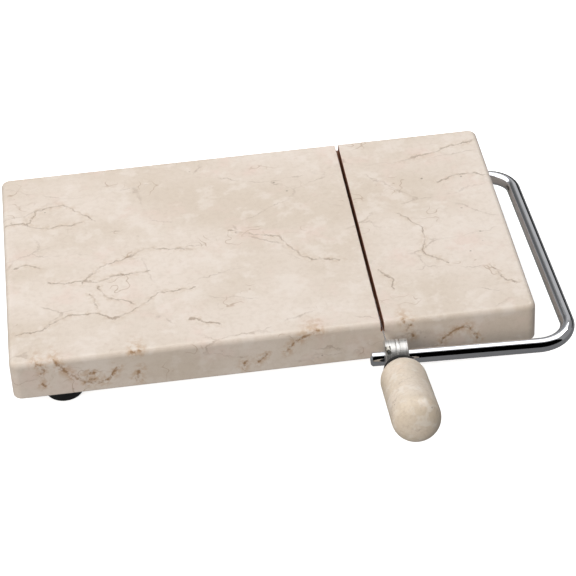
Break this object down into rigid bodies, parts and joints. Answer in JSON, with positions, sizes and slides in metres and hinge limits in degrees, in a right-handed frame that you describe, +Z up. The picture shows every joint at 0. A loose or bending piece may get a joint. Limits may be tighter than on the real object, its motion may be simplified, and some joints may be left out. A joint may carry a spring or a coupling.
{
  "type": "cheese wire cutter",
  "caption": "Stone cheese board on rubber feet with a hinged bent-rod arm that carries a taut cutting wire down into a slot, lifted by a rounded stone grip.",
  "frame": {"origin": "middle of the whole outline seen from above, on the plane that the rubber feet stand on", "axes": "+Z up; +X along the board's length, towards the arm; -Y towards the grip and the user"},
  "size_m": [0.2176, 0.1912, 0.0312],
  "materials": {
    "board_marble": "honed cream marble with fine rust and grey veins",
    "grip_marble": "polished cream marble",
    "foot_rubber": "matte black",
    "disc_adhesive": "thin grey adhesive disc",
    "bush_nylon": "natural nylon",
    "rod_chrome": "bright chrome plate",
    "sleeve_satin": "satin turned aluminium",
    "wire_steel": "drawn stainless wire",
    "crimp_brass": "nickel-plated brass",
    "stud_steel": "zinc-plated steel",
    "washer_black": "black moulded",
    "insert_brass": "plain brass"
  },
  "bodies": {
    "base": {"marble_board": "board_marble", "foot_front_left": "foot_rubber", "foot_front_right": "foot_rubber", "foot_rear_left": "foot_rubber", "foot_rear_right": "foot_rubber", "foot_discs": "disc_adhesive", "bush_outer": "bush_nylon", "bush_inner": "bush_nylon"},
    "arm": {"arm_rod": "rod_chrome", "tension_sleeve": "sleeve_satin", "cutting_wire": "wire_steel", "wire_ball": "wire_steel", "wire_crimp": "crimp_brass"},
    "grip": {"grip_stud": "stud_steel", "lock_nut": "stud_steel", "cup_washer": "washer_black", "grip_insert": "insert_brass", "marble_grip": "grip_marble"}
  },
  "joints": [
    {"name": "arm_lift", "type": "hinge", "parent": "base", "child": "arm", "pos_m": [0.03431, 0.07015, 0.014], "axis": [-1, 0, 0], "range_deg": [0, 165]},
    {"name": "grip_turn", "type": "hinge", "parent": "arm", "child": "grip", "pos_m": [0.03771, -0.04233, 0.014], "axis": [0, -0.9848, 0.1736], "range_deg": [0, 360]}
  ]
}
